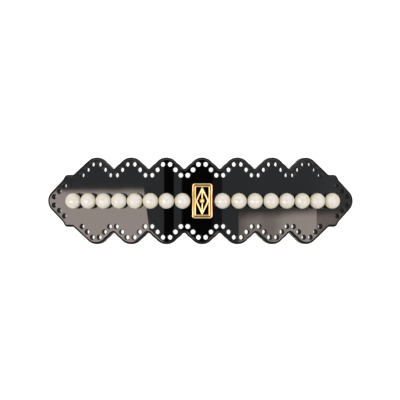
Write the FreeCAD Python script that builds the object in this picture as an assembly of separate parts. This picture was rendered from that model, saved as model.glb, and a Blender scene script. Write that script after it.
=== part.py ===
"""Scalloped barrette with a row of beads and a French clip behind it.

A black acetate plate is cut flat, drilled, then bent about an axis parallel to Y. Every piece is therefore
placed by three numbers: s, the arc length along the front face from the middle, in the direction of +X;
y, the distance across the plate; and d, the depth below the front face, towards the wearer's head.
+Z points out of the decorated face, and the part rests at z = 0 on the clip behind it. Millimetres.
"""

import FreeCAD, Part
import math
import os
from FreeCAD import Vector

# Plate
BEND_RADIUS = 110.0  # of the front face
PLATE_THICKNESS = 3.0
SCALLOP_PITCH = 12.3
SCALLOPS_EACH_SIDE = 3  # besides the middle one
CREST_HEIGHT = 14.84  # half the plate's full height
CAP_RADIUS = 4.45
CAP_HALF_CHORD = 3.6
VALLEY_HEIGHT = 10.95
VALLEY_HALF_WIDTH = 0.55
VALLEY_FLARE = 0.25  # how far a valley's fillet rises at its ends
SHOULDER_BULGE = 0.12
FLANK_SLOPE = 0.87  # of the outermost scallops' outer flanks
EAR_HEIGHT = 8.94
EAR_END = 47.7
EAR_CORNER = (0.75, 0.37)  # the ear's round corner, beyond its end and below its height
EAR_FOOT = (1.12, 0.95)
TIP_END = 55.0
TIP_RADIUS = 4.2
TIP_SLOPE = 0.947
TIP_SHOULDER = (49.4, 7.1)
FRONT_EDGE_BREAK = 0.35
HOLE_RADIUS = 0.8
CREST_HOLE = (1.25, 12.45)  # offset from the crest, height
HOLE_STEP = 1.85  # down a 45 degree flank
HOLES_PER_FLANK = 3
END_HOLE = (48.4, 5.15)
END_HOLE_STEP = (1.95, -1.85)

# Beads and emblem
BEADS_EACH_SIDE = 8
BEAD_RADIUS = 2.7
BEAD_SINK = 0.12  # ground flat where it is glued on
FIRST_BEAD = 6.7
BEAD_PITCH_LEFT = 5.34  # the row is set by hand, a little tighter on the left
BEAD_PITCH_RIGHT = 5.48
PEG_RADIUS = 0.4
PEG_IN_PLATE = 1.5
PEG_IN_BEAD = 1.8
EMBLEM_WIDTH = 7.1
EMBLEM_HEIGHT = 12.0
EMBLEM_CORNER = 0.9
EMBLEM_BAND = 1.3
EMBLEM_BASE = 0.75
EMBLEM_SKIRT = 0.5  # how far its blank reaches below the crown before it is fitted to the bend
EMBLEM_INNER_CORNER = 0.15
EMBLEM_RIDGE_CORNER = 0.2
RIDGE_WIDTH = 0.44
RIDGE_HEIGHT = 0.35
RIDGE_ROOT = 0.1  # overlap of a raised piece with what it stands on
LOZENGE_BAND = 0.62
LOZENGE_REACH = 0.2  # its points run into the frame
STEM_WIDTH = 0.5
BOSS_RADIUS = 0.85
BOSS_SINK = 0.2
EMBLEM_PIN_RADIUS = 0.5
EMBLEM_PIN_DEPTH = 1.6
EMBLEM_PIN_Y = 5.3

# Clip: depths below the front face
STEEL = 0.7
BASE_IN = PLATE_THICKNESS + STEEL
FLANGE_DEPTH = 1.1
FLANGE = (-36.0, 31.0)
GUSSET_DEPTH = 2.6
GUSSET_END = -34.0
BASE_START = -41.8
BASE_END = 41.0
BASE_HALF_WIDTH = 4.6
BASE_START_CORNER = 1.0
BASE_END_CORNER = 2.5
ARM_IN = 10.6
ARM_THICKNESS = 0.8
ARM_OUT = ARM_IN + ARM_THICKNESS
ARM_HALF_WIDTH = 3.6
ARM_END = 39.6
HEAD_START = 31.6
HEAD_HALF_WIDTH = 4.3
HEAD_CORNER = 3.0
HEAD_LAP = 2.0  # how far the arm's strip runs on under its head
WINDOW = (33.1, 37.5)
WINDOW_HALF_WIDTH = 2.75
HINGE_S = -40.0
PIN_RADIUS = 0.8
EYE_BORE = 0.86
EYE_RADIUS = 1.65
HINGE_D = ARM_OUT - EYE_RADIUS
EAR_RADIUS = 1.6
PIN_HEAD_RADIUS = 1.15
PIN_HEAD_HEIGHT = 0.35
ARM_KNUCKLE = 1.5  # inner face of each of the arm's two knuckles
ARM_NECK = 1.2  # from the knuckles to the end of the gap between them
BOW_THICKNESS = 0.45
BOW_HALF_WIDTH = 2.4
BOW_KNUCKLE = 1.25
BOW_NECK = 2.0
BOW_CORNER = 2.0
BOW_MIDDLE_D = 5.6
BOW_END_S = 28.4
BOW_GAP = 0.2  # between the bow's free end and the base
LATCH_START = 33.2
LATCH_END = 40.6
LATCH_THICKNESS = 0.6
LATCH_HALF_WIDTH = 3.0
LATCH_CORNER = 1.5
WING = (34.1, 37.1)
WING_AXIS_Y = 2.3
WING_THICKNESS = 0.56
WING_AXIS_D = 4.7
WING_TIP_D = 12.9
WING_TIP_TAPER = 0.1
BARB_REACH = 0.47
BARB_CATCH_D = ARM_OUT + 0.1
BARB_LENGTH = 1.0
BARB_EDGE = 0.25
RIVETS_S = (  # midway between two beads, clear of their pegs
    -FIRST_BEAD - 4.5 * BEAD_PITCH_LEFT,
    FIRST_BEAD + 4.5 * BEAD_PITCH_RIGHT,
)
RIVET_RADIUS = 0.75
RIVET_DEPTH = 1.5
RIVET_HEAD_RADIUS = 1.4
RIVET_HEAD_HEIGHT = 0.5
RIVET_HEAD_ROUND = 0.3
FLAT_SEAT = 0.01  # a flat face on the hollow side of a bent strip touches at its rim, this far off
LATCH_RIVET_S = 39.1

ACROSS = Vector(0, 1, 0)
MARGIN = 1.0  # how far a cutting tool stands past what it cuts
ON_FACE = 0.01  # how close to a depth a place counts as being on it


def point(s, d, y=0.0):
    """The place of arc length s, depth d and cross distance y, before the part is lifted onto z = 0."""
    r = BEND_RADIUS - d
    return Vector(r * math.sin(s / BEND_RADIUS), y, r * math.cos(s / BEND_RADIUS))


def outward(s):
    """Unit normal of the front face at s."""
    return Vector(math.sin(s / BEND_RADIUS), 0, math.cos(s / BEND_RADIUS))


def line(a, b):
    return Part.LineSegment(a, b).toShape()


def arc(a, b, c):
    return Part.Arc(a, b, c).toShape()


def strip(d0, d1, s0, s1, y0, y1):
    """A bent strip of sheet between two depths, two arc lengths and two cross distances."""
    middle = (s0 + s1) / 2
    profile = Part.Wire([
        arc(point(s0, d0, y0), point(middle, d0, y0), point(s1, d0, y0)),
        line(point(s1, d0, y0), point(s1, d1, y0)),
        arc(point(s1, d1, y0), point(middle, d1, y0), point(s0, d1, y0)),
        line(point(s0, d1, y0), point(s0, d0, y0)),
    ])
    return Part.Face(profile).extrude(ACROSS * (y1 - y0))


def radial_rod(s, y, d0, d1, radius):
    """A round rod square to the front face, from depth d0 to the deeper d1."""
    return Part.makeCylinder(radius, d1 - d0, point(s, d1, y), outward(s))


def cross_rod(s, d, y0, y1, radius):
    """A round rod along Y."""
    return Part.makeCylinder(radius, y1 - y0, point(s, d, y0), ACROSS)


def fused(shapes):
    """One solid from several that touch, without the seams between coplanar faces."""
    whole = shapes[0].multiFuse(shapes[1:]) if len(shapes) > 1 else shapes[0]
    return whole.removeSplitter()


# ---- plate ----


def flat_arc(a, b, c):
    return arc(Vector(*a, 0), Vector(*b, 0), Vector(*c, 0))


def flat_line(a, b):
    return line(Vector(*a, 0), Vector(*b, 0))


def cap_height(offset):
    """Height of a scallop's round cap at an offset from its crest."""
    return CREST_HEIGHT - CAP_RADIUS + math.sqrt(CAP_RADIUS**2 - offset**2)


def bulged(a, b, bulge):
    """The point halfway from a to b, moved outwards from the plate by bulge."""
    dx, dy = b[0] - a[0], b[1] - a[1]
    length = math.hypot(dx, dy)
    return ((a[0] + b[0]) / 2 - dy / length * bulge, (a[1] + b[1]) / 2 + dx / length * bulge)


def valley(middle):
    """Shoulder, rounded valley and shoulder between two neighbouring scallops, left to right."""
    cap_edge = cap_height(CAP_HALF_CHORD)
    far = SCALLOP_PITCH / 2 - CAP_HALF_CHORD
    left_cap = (middle - far, cap_edge)
    right_cap = (middle + far, cap_edge)
    left = (middle - VALLEY_HALF_WIDTH, VALLEY_HEIGHT + VALLEY_FLARE)
    right = (middle + VALLEY_HALF_WIDTH, VALLEY_HEIGHT + VALLEY_FLARE)
    return [
        flat_arc(left_cap, bulged(left_cap, left, SHOULDER_BULGE), left),
        flat_arc(left, (middle, VALLEY_HEIGHT), right),
        flat_arc(right, bulged(right, right_cap, SHOULDER_BULGE), right_cap),
    ]


def end_outline():
    """From the outermost crest down its straight flank, round the ear, to the tip on the centre line."""
    crest = SCALLOPS_EACH_SIDE * SCALLOP_PITCH
    angle = math.atan(FLANK_SLOPE)
    leave = (crest + CAP_RADIUS * math.sin(angle), cap_height(CAP_RADIUS * math.sin(angle)))
    half = (crest + CAP_RADIUS * math.sin(angle / 2), cap_height(CAP_RADIUS * math.sin(angle / 2)))
    ear = (leave[0] + (leave[1] - EAR_HEIGHT) / FLANK_SLOPE, EAR_HEIGHT)
    tip_angle = math.atan(TIP_SLOPE)
    centre = TIP_END - TIP_RADIUS
    meet = (centre + TIP_RADIUS * math.sin(tip_angle), TIP_RADIUS * math.cos(tip_angle))
    swing = (math.pi / 2 - tip_angle) / 2
    on_tip = (centre + TIP_RADIUS * math.cos(swing), TIP_RADIUS * math.sin(swing))
    ear_corner = (EAR_END + EAR_CORNER[0], EAR_HEIGHT - EAR_CORNER[1])
    ear_foot = (EAR_END + EAR_FOOT[0], EAR_HEIGHT - EAR_FOOT[1])
    return [
        flat_arc((crest, CREST_HEIGHT), half, leave),
        flat_line(leave, ear),
        flat_line(ear, (EAR_END, EAR_HEIGHT)),
        flat_arc((EAR_END, EAR_HEIGHT), ear_corner, ear_foot),
        flat_line(ear_foot, TIP_SHOULDER),
        flat_line(TIP_SHOULDER, meet),
        flat_arc(meet, on_tip, (TIP_END, 0)),
    ]


def upper_right_outline():
    """The plate's outline from the middle crest to the right tip, in the flat."""
    edges = []
    for k in range(SCALLOPS_EACH_SIDE):
        crest = k * SCALLOP_PITCH
        half = CAP_HALF_CHORD / 2
        start = (crest, CREST_HEIGHT)
        end = (crest + CAP_HALF_CHORD, cap_height(CAP_HALF_CHORD))
        edges.append(flat_arc(start, (crest + half, cap_height(half)), end))
        edges += valley(crest + SCALLOP_PITCH / 2)
        following = crest + SCALLOP_PITCH
        rise = (following - CAP_HALF_CHORD, cap_height(CAP_HALF_CHORD))
        edges.append(flat_arc(rise, (following - half, cap_height(half)), (following, CREST_HEIGHT)))
    return edges + end_outline()


def mirrored(edge, flip_x, flip_y):
    matrix = FreeCAD.Matrix()
    matrix.scale(-1 if flip_x else 1, -1 if flip_y else 1, 1)
    return edge.transformGeometry(matrix).Edges[0]


def bent_curve(edge, depth):
    """A flat edge laid on the cylinder at a depth, through points close enough to keep its shape."""
    samples = 5 if edge.Length < 2 else 9
    curve = Part.BSplineCurve()
    curve.interpolate([point(p.x, depth, p.y) for p in edge.discretize(samples)])
    return curve.toShape()


def front_plate():
    """The bent acetate plate: a thick band cut by a tube of radial walls, then drilled."""
    quarter = upper_right_outline()
    edges = [mirrored(e, x, y) for x in (False, True) for y in (False, True) for e in quarter]
    walls = [
        Part.makeRuledSurface(bent_curve(e, -MARGIN), bent_curve(e, PLATE_THICKNESS + MARGIN))
        for e in edges
    ]
    tube = Part.makeShell(walls)
    tube.sewShape()
    reach = TIP_END + 4 * MARGIN
    side = CREST_HEIGHT + 4 * MARGIN
    band = strip(0, PLATE_THICKNESS, -reach, reach, -side, side)
    pieces, _ = band.generalFuse([tube])
    plate = min(pieces.Solids, key=lambda solid: abs(solid.CenterOfMass.x) + abs(solid.BoundBox.YMax))
    return plate


def hole_places():
    """(s, y) of every round perforation, on all four quarters."""
    quarter = []
    for k in range(-SCALLOPS_EACH_SIDE, SCALLOPS_EACH_SIDE + 1):
        for i in range(HOLES_PER_FLANK):
            offset = CREST_HOLE[0] + i * HOLE_STEP
            for side in (-1, 1):
                quarter.append((k * SCALLOP_PITCH + side * offset, CREST_HOLE[1] - i * HOLE_STEP))
    for i in range(HOLES_PER_FLANK):
        s, y = END_HOLE[0] + i * END_HOLE_STEP[0], END_HOLE[1] + i * END_HOLE_STEP[1]
        quarter += [(s, y), (-s, y)]
    return [(s, side * y) for s, y in quarter for side in (-1, 1)]


def drilled_plate():
    plate = front_plate()
    rim = [e for e in plate.Edges if abs(depth_of(e.valueAt(middle_parameter(e)))) < ON_FACE]
    plate = plate.makeChamfer(FRONT_EDGE_BREAK, rim)
    deep = PLATE_THICKNESS + MARGIN
    tools = [radial_rod(s, y, -MARGIN, deep, HOLE_RADIUS) for s, y in hole_places()]
    tools += [radial_rod(s, 0, -MARGIN, PEG_IN_PLATE, PEG_RADIUS) for s in bead_places()]
    start = PLATE_THICKNESS - RIVET_DEPTH
    tools += [radial_rod(s, 0, start, deep, RIVET_RADIUS) for s in RIVETS_S]
    tools += [radial_rod(0, y, -MARGIN, EMBLEM_PIN_DEPTH, EMBLEM_PIN_RADIUS) for y in emblem_pin_places()]
    return plate.cut(tools)


def middle_parameter(edge):
    return (edge.FirstParameter + edge.LastParameter) / 2


# ---- beads ----


def bead_places():
    left = [-FIRST_BEAD - i * BEAD_PITCH_LEFT for i in reversed(range(BEADS_EACH_SIDE))]
    return left + [FIRST_BEAD + i * BEAD_PITCH_RIGHT for i in range(BEADS_EACH_SIDE)]


def front_face_cylinder():
    """What lies behind the front face, for seating things on it."""
    return Part.makeCylinder(BEND_RADIUS, 4 * CREST_HEIGHT, Vector(0, -2 * CREST_HEIGHT, 0), ACROSS)


def bead(s):
    """A round bead, ground flat where it sits on the plate and half drilled for its peg."""
    height = BEAD_RADIUS - BEAD_SINK
    seat = -math.degrees(math.asin(height / BEAD_RADIUS))
    ball = Part.makeSphere(BEAD_RADIUS, point(s, -height), outward(s), seat, 90, 360)
    return ball.cut(radial_rod(s, 0, -PEG_IN_BEAD, MARGIN, PEG_RADIUS))


def bead_pegs():
    return [radial_rod(s, 0, -PEG_IN_BEAD, PEG_IN_PLATE, PEG_RADIUS) for s in bead_places()]


# ---- emblem ----


def rounded_box(width, height, corner, d0, d1):
    """A block with rounded corners over the crown, from depth d0 to the deeper d1."""
    low = Vector(-width / 2, -height / 2, BEND_RADIUS - d1)
    block = Part.makeBox(width, height, d1 - d0, low)
    upright = [e for e in block.Edges if abs(e.tangentAt(e.FirstParameter).z) > 0.99]
    return block.makeFillet(corner, upright)


def frame_ring(inset, width, d0, d1):
    """A rectangular ring of the emblem, its outer edge inset from the emblem's own."""
    outer_corner = max(EMBLEM_CORNER - inset, EMBLEM_RIDGE_CORNER)
    outer = EMBLEM_WIDTH - 2 * inset, EMBLEM_HEIGHT - 2 * inset, outer_corner
    inner_corner = max(outer_corner - width, EMBLEM_INNER_CORNER)
    inner = outer[0] - 2 * width, outer[1] - 2 * width, inner_corner
    return rounded_box(*outer, d0, d1).cut(rounded_box(*inner, d0 - MARGIN, d1 + MARGIN))


def lozenge(half_width, half_height, d0, d1):
    corners = [(0, half_height), (half_width, 0), (0, -half_height), (-half_width, 0)]
    points = [Vector(x, y, BEND_RADIUS - d1) for x, y in corners]
    edges = [line(a, b) for a, b in zip(points, points[1:] + points[:1])]
    return Part.Face(Part.Wire(edges)).extrude(Vector(0, 0, d1 - d0))


def emblem_pin_places():
    return (-EMBLEM_PIN_Y, EMBLEM_PIN_Y)


def emblem():
    """A cast openwork plaque: a double ridged frame, a lozenge with a domed boss, and two pins behind."""
    top = -EMBLEM_BASE
    root = top + RIDGE_ROOT
    ridge_top = top - RIDGE_HEIGHT
    half_width = EMBLEM_WIDTH / 2 - EMBLEM_BAND
    half_height = EMBLEM_HEIGHT / 2 - EMBLEM_BAND
    run = math.hypot(half_width, half_height)
    band_x = LOZENGE_BAND * run / half_height
    band_y = LOZENGE_BAND * run / half_width
    half_width_out = half_width + LOZENGE_REACH
    half_height_out = half_height + 2 * LOZENGE_REACH
    diamond = lozenge(half_width_out, half_height_out, top, EMBLEM_SKIRT)
    hollow = lozenge(half_width_out - band_x, half_height_out - band_y, top - MARGIN, EMBLEM_SKIRT + MARGIN)
    stem = Part.makeBox(
        STEM_WIDTH, 2 * half_height, EMBLEM_SKIRT - root,
        Vector(-STEM_WIDTH / 2, -half_height, BEND_RADIUS - EMBLEM_SKIRT),
    )
    boss = Part.makeSphere(BOSS_RADIUS, Vector(0, 0, BEND_RADIUS - top - BOSS_SINK))
    foot = radial_rod(0, 0, top, EMBLEM_SKIRT, BOSS_RADIUS)
    pieces = [
        frame_ring(0, EMBLEM_BAND, top, EMBLEM_SKIRT),
        frame_ring(0, RIDGE_WIDTH, ridge_top, root),
        frame_ring(EMBLEM_BAND - RIDGE_WIDTH, RIDGE_WIDTH, ridge_top, root),
        diamond.cut(hollow), stem, boss, foot,
    ]
    plaque = pieces[0].multiFuse(pieces[1:]).cut(front_face_cylinder())
    pins = [radial_rod(0, y, top, EMBLEM_PIN_DEPTH, EMBLEM_PIN_RADIUS) for y in emblem_pin_places()]
    return fused([plaque, *pins])


# ---- clip ----


def rivet(s, d0, d_head):
    """Shank from depth d0 to the seat of its flat head on a face at d_head."""
    seat = d_head + FLAT_SEAT
    shank = radial_rod(s, 0, d0 + FLAT_SEAT, seat, RIVET_RADIUS)
    head = radial_rod(s, 0, seat, seat + RIVET_HEAD_HEIGHT, RIVET_HEAD_RADIUS)
    rim = [e for e in head.Edges if e.Closed and depth_of(e.CenterOfMass) > seat + RIVET_HEAD_HEIGHT / 2]
    return fused([shank, head.makeFillet(RIVET_HEAD_ROUND, rim)])


def depth_of(place):
    return BEND_RADIUS - math.hypot(place.x, place.z)


def corner_trim(s_end, direction, half_width, radius, d0, d1):
    """What to cut from the two corners of a strip's end to round them in plan."""
    s0 = s_end - direction * radius
    low, high = sorted((s0, s_end + direction * MARGIN))
    trims = []
    for side in (-1, 1):
        y0, y1 = sorted((side * (half_width - radius), side * (half_width + MARGIN)))
        block = strip(d0 - MARGIN, d1 + MARGIN, low, high, y0, y1)
        keep = radial_rod(s0, side * (half_width - radius), d0 - 2 * MARGIN, d1 + 2 * MARGIN, radius)
        trims.append(block.cut(keep))
    return trims


def clip_base():
    """The fixed strip: a web against the plate, two stiffening flanges and two ears for the hinge pin."""
    web = strip(PLATE_THICKNESS, BASE_IN, BASE_START, BASE_END, -BASE_HALF_WIDTH, BASE_HALF_WIDTH)
    web = web.cut(corner_trim(BASE_END, 1, BASE_HALF_WIDTH, BASE_END_CORNER, PLATE_THICKNESS, BASE_IN))
    web = web.cut(corner_trim(BASE_START, -1, BASE_HALF_WIDTH, BASE_START_CORNER, PLATE_THICKNESS, BASE_IN))
    pieces = [web]
    for side in (-1, 1):
        y0, y1 = sorted((side * BASE_HALF_WIDTH, side * (BASE_HALF_WIDTH - STEEL)))
        in_web = BASE_IN - STEEL / 2
        pieces += [
            strip(in_web, BASE_IN + FLANGE_DEPTH, *FLANGE, y0, y1),
            strip(in_web, HINGE_D, HINGE_S - EAR_RADIUS, HINGE_S + EAR_RADIUS, y0, y1),
            cross_rod(HINGE_S, HINGE_D, y0, y1, EAR_RADIUS),
            strip(in_web, BASE_IN + GUSSET_DEPTH, HINGE_S, GUSSET_END, y0, y1),
        ]
    shape = fused(pieces)
    holes = [radial_rod(s, 0, 0, 2 * BASE_IN, RIVET_RADIUS) for s in (*RIVETS_S, LATCH_RIVET_S)]
    holes.append(cross_rod(HINGE_S, HINGE_D, -2 * BASE_HALF_WIDTH, 2 * BASE_HALF_WIDTH, PIN_RADIUS))
    return shape.cut(holes)


def hinge_pin():
    """The pin, upset into a flat head outside each ear."""
    head_in = BASE_HALF_WIDTH
    head_out = BASE_HALF_WIDTH + PIN_HEAD_HEIGHT
    heads = [
        cross_rod(HINGE_S, HINGE_D, head_in, head_out, PIN_HEAD_RADIUS),
        cross_rod(HINGE_S, HINGE_D, -head_out, -head_in, PIN_HEAD_RADIUS),
    ]
    return fused([cross_rod(HINGE_S, HINGE_D, -head_out, head_out, PIN_RADIUS), *heads])


def eye(y0, y1, outer):
    """A rolled knuckle round the hinge pin."""
    return cross_rod(HINGE_S, HINGE_D, y0, y1, outer)


def eye_bore():
    return cross_rod(HINGE_S, HINGE_D, -2 * BASE_HALF_WIDTH, 2 * BASE_HALF_WIDTH, EYE_BORE)


def clasp_arm():
    """The swinging strip: two knuckles at the hinge, and a wide head with the latch's window."""
    body = strip(ARM_IN, ARM_OUT, HINGE_S, HEAD_START + HEAD_LAP, -ARM_HALF_WIDTH, ARM_HALF_WIDTH)
    gap_end = HINGE_S + EYE_RADIUS + ARM_NECK
    gap = strip(ARM_IN - MARGIN, ARM_OUT + MARGIN, HINGE_S - MARGIN, gap_end, -ARM_KNUCKLE, ARM_KNUCKLE)
    head = strip(ARM_IN, ARM_OUT, HEAD_START, ARM_END, -HEAD_HALF_WIDTH, HEAD_HALF_WIDTH)
    shoulder = HEAD_HALF_WIDTH - ARM_HALF_WIDTH
    head = head.cut(corner_trim(ARM_END, 1, HEAD_HALF_WIDTH, HEAD_CORNER, ARM_IN, ARM_OUT))
    head = head.cut(corner_trim(HEAD_START, -1, HEAD_HALF_WIDTH, shoulder, ARM_IN, ARM_OUT))
    window = strip(ARM_IN - MARGIN, ARM_OUT + MARGIN, *WINDOW, -WINDOW_HALF_WIDTH, WINDOW_HALF_WIDTH)
    eyes = [
        eye(ARM_KNUCKLE, ARM_HALF_WIDTH, EYE_RADIUS),
        eye(-ARM_HALF_WIDTH, -ARM_KNUCKLE, EYE_RADIUS),
    ]
    return fused([body.cut(gap), head, *eyes]).cut([window, eye_bore()])


def tension_bow():
    """The springy inner strip: one rolled eye on the hinge pin, flatter than the base, and a free end."""
    outer = EYE_BORE + BOW_THICKNESS
    root = point(HINGE_S, HINGE_D - EYE_BORE)
    middle = point(0, BOW_MIDDLE_D)
    end = point(BOW_END_S, BASE_IN + BOW_GAP)
    path = arc(root, middle, end).Curve
    centre, radius = path.Center, path.Radius
    profile = []
    for r in (radius, radius - BOW_THICKNESS):
        shift = [centre + (p - centre) * (r / radius) for p in (root, middle, end)]
        profile.append([p - ACROSS * BOW_HALF_WIDTH for p in shift])
    top, under = profile
    wire = Part.Wire([
        arc(*top), line(top[2], under[2]), arc(under[2], under[1], under[0]), line(under[0], top[0]),
    ])
    leaf = Part.Face(wire).extrude(ACROSS * (2 * BOW_HALF_WIDTH))
    behind = HINGE_S - EYE_RADIUS - MARGIN
    neck = HINGE_S + EYE_RADIUS + BOW_NECK
    trims = []
    for side in (-1, 1):
        y0, y1 = sorted((side * BOW_KNUCKLE, side * 2 * BOW_HALF_WIDTH))
        trims.append(strip(BASE_IN, ARM_OUT, behind, neck, y0, y1))
    trims += corner_trim(BOW_END_S, 1, BOW_HALF_WIDTH, BOW_CORNER, BASE_IN, BASE_IN + MARGIN)
    leaf = leaf.cut(trims)
    return fused([leaf, eye(-BOW_KNUCKLE, BOW_KNUCKLE, outer)]).cut(eye_bore())


def latch_plate():
    """The foot of the spring latch, riveted to the clip's base."""
    d1 = BASE_IN + LATCH_THICKNESS
    foot = strip(BASE_IN, d1, LATCH_START, LATCH_END, -LATCH_HALF_WIDTH, LATCH_HALF_WIDTH)
    foot = foot.cut(corner_trim(LATCH_END, 1, LATCH_HALF_WIDTH, LATCH_CORNER, BASE_IN, d1))
    return foot.cut(radial_rod(LATCH_RIVET_S, 0, BASE_IN - MARGIN, d1 + MARGIN, RIVET_RADIUS))


def latch_wing(side):
    """One springy wing of the latch: a leg through the arm's window, a barb and a finger tip."""
    inner = WING_AXIS_Y - WING_THICKNESS / 2
    outer = WING_AXIS_Y + WING_THICKNESS / 2
    outline = [
        (inner, WING_AXIS_D), (inner, WING_TIP_D), (outer - WING_TIP_TAPER, WING_TIP_D),
        (outer, BARB_CATCH_D + BARB_LENGTH), (outer + BARB_REACH, BARB_CATCH_D + BARB_EDGE),
        (outer + BARB_REACH, BARB_CATCH_D), (outer, BARB_CATCH_D), (outer, WING_AXIS_D),
    ]
    middle = sum(WING) / 2
    length = WING[1] - WING[0]
    along = point(middle + 1, 0) - point(middle - 1, 0)
    along.normalize()
    points = [point(middle, d, side * y) - along * (length / 2) for y, d in outline]
    edges = [line(a, b) for a, b in zip(points, points[1:] + points[:1])]
    leg = Part.Face(Part.Wire(edges)).extrude(along * length)
    start = point(middle, WING_AXIS_D, side * WING_AXIS_Y) - along * (length / 2)
    root = Part.makeCylinder(WING_THICKNESS / 2, length, start, along)
    return fused([leg, root])


def build():
    """Every node by name."""
    d_latch = BASE_IN + LATCH_THICKNESS
    nodes = {
        "front_plate": drilled_plate(),
        "bead_pegs": Part.makeCompound(bead_pegs()),
        "emblem": emblem(),
        "clip_base": clip_base(),
        "rivet_hinge_end": rivet(RIVETS_S[0], PLATE_THICKNESS - RIVET_DEPTH, BASE_IN),
        "rivet_latch_end": rivet(RIVETS_S[1], PLATE_THICKNESS - RIVET_DEPTH, BASE_IN),
        "hinge_pin": hinge_pin(),
        "clasp_arm": clasp_arm(),
        "tension_bow": tension_bow(),
        "latch_plate": latch_plate(),
        "latch_rivet": rivet(LATCH_RIVET_S, PLATE_THICKNESS, d_latch),
        "latch_wing_upper": latch_wing(1),
        "latch_wing_lower": latch_wing(-1),
    }
    for number, s in enumerate(bead_places()):
        side, count = ("left", BEADS_EACH_SIDE - number) if s < 0 else ("right", number - BEADS_EACH_SIDE + 1)
        nodes[f"bead_{side}_{count}"] = bead(s)
    return nodes


def lowest(shape):
    return shape.optimalBoundingBox(False, False).ZMin


def main():
    nodes = build()
    lift = -min(lowest(shape) for shape in nodes.values())
    os.makedirs("parts", exist_ok=True)
    for name, shape in nodes.items():
        shape.translate(Vector(0, 0, lift))
        shape.exportStep(os.path.join("parts", name + ".step"))
        print(f"{name}: {len(shape.Solids)} solid, valid {shape.isValid()}, {shape.Volume:.2f} mm3")
    print(f"bend axis at z = {lift:.4f}")
    print(f"hinge axis at {tuple(round(v, 4) for v in point(HINGE_S, HINGE_D) + Vector(0, 0, lift))}")


if __name__ == "__main__":
    main()
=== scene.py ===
"""Scalloped barrette: its finished surfaces, its materials and the stage it lies on.

The decorated face looks up, along +Z, and the clip is below it. A place on the bent plate is given by s, the
arc length along its front face from the middle, by y across it, and by the depth below the front face.
"""

import math

import bpy
import numpy as np
from mathutils.geometry import delaunay_2d_cdt
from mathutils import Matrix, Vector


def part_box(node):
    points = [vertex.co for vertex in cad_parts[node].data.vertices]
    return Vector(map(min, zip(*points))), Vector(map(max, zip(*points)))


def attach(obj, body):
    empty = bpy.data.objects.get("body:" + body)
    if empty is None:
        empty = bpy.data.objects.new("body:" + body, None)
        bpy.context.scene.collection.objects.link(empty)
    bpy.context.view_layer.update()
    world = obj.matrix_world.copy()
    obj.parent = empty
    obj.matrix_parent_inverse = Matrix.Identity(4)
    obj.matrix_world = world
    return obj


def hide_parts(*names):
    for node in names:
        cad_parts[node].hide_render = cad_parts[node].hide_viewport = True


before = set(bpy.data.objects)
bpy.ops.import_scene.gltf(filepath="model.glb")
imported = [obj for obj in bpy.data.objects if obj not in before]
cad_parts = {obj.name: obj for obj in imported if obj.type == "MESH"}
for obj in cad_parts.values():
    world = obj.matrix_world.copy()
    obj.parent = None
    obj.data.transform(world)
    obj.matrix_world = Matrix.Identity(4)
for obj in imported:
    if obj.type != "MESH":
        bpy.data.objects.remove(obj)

bl_info = {
    "name": "Scalloped barrette",
    "version": (1, 0, 0),
    "blender": (4, 5, 0),
    "location": "View3D > Sidebar > Barrette",
    "description": "Finishes a bead barrette and sets up its stage",
    "category": "Object",
}

MM = 0.001
PLATE_LOW, PLATE_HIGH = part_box("front_plate")
BEAD_NODES = sorted(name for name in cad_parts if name.startswith("bead_") and name != "bead_pegs")
STEEL_NODES = ("clip_base", "clasp_arm", "latch_plate")
SPRING_NODES = ("tension_bow", "latch_wing_upper", "latch_wing_lower")
RIVET_NODES = ("rivet_hinge_end", "rivet_latch_end", "latch_rivet", "hinge_pin", "bead_pegs")


# ---- sizes and colours that a user would change ----


class PlateSettings(bpy.types.PropertyGroup):
    bend_radius: bpy.props.FloatProperty(
        name="Bend radius", description="Radius of the front face", default=0.110, unit="LENGTH"
    )
    thickness: bpy.props.FloatProperty(
        name="Thickness", description="Thickness of the acetate", default=0.003, unit="LENGTH"
    )
    front_round: bpy.props.FloatProperty(
        name="Front rounding", description="Radius tumbled onto the front edge", default=0.001, unit="LENGTH"
    )
    back_round: bpy.props.FloatProperty(
        name="Back rounding", description="Radius tumbled onto the back edge", default=0.0004, unit="LENGTH"
    )
    hole_round: bpy.props.FloatProperty(
        name="Hole rounding", description="Radius tumbled onto the rims of the holes", default=0.00016,
        unit="LENGTH",
    )
    colour: bpy.props.FloatVectorProperty(
        name="Acetate", description="Colour of the acetate (sRGB)", subtype="COLOR_GAMMA", size=3,
        default=(0.024, 0.023, 0.022), min=0, max=1,
    )


class BeadSettings(bpy.types.PropertyGroup):
    radius: bpy.props.FloatProperty(
        name="Bead radius", description="Radius of a bead", default=0.0027, unit="LENGTH"
    )
    sink: bpy.props.FloatProperty(
        name="Seat depth", description="How much is ground off where a bead is glued on", default=0.00012,
        unit="LENGTH",
    )
    colour: bpy.props.FloatVectorProperty(
        name="Nacre", description="Colour of the nacre coat (sRGB)", subtype="COLOR_GAMMA", size=3,
        default=(0.892, 0.889, 0.882), min=0, max=1,
    )


class EmblemSettings(bpy.types.PropertyGroup):
    band: bpy.props.FloatProperty(
        name="Frame band", description="Width of the plaque's frame", default=0.0013, unit="LENGTH"
    )
    ridge: bpy.props.FloatProperty(
        name="Ridge", description="Width of each ridge on the frame", default=0.00044, unit="LENGTH"
    )
    colour: bpy.props.FloatVectorProperty(
        name="Gilding", description="Colour of the gold plating (sRGB)", subtype="COLOR_GAMMA", size=3,
        default=(1.0, 0.91, 0.70), min=0, max=1,
    )


class ClipSettings(bpy.types.PropertyGroup):
    colour: bpy.props.FloatVectorProperty(
        name="Nickel", description="Colour of the nickel plating (sRGB)", subtype="COLOR_GAMMA", size=3,
        default=(0.80, 0.79, 0.77), min=0, max=1,
    )


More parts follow.
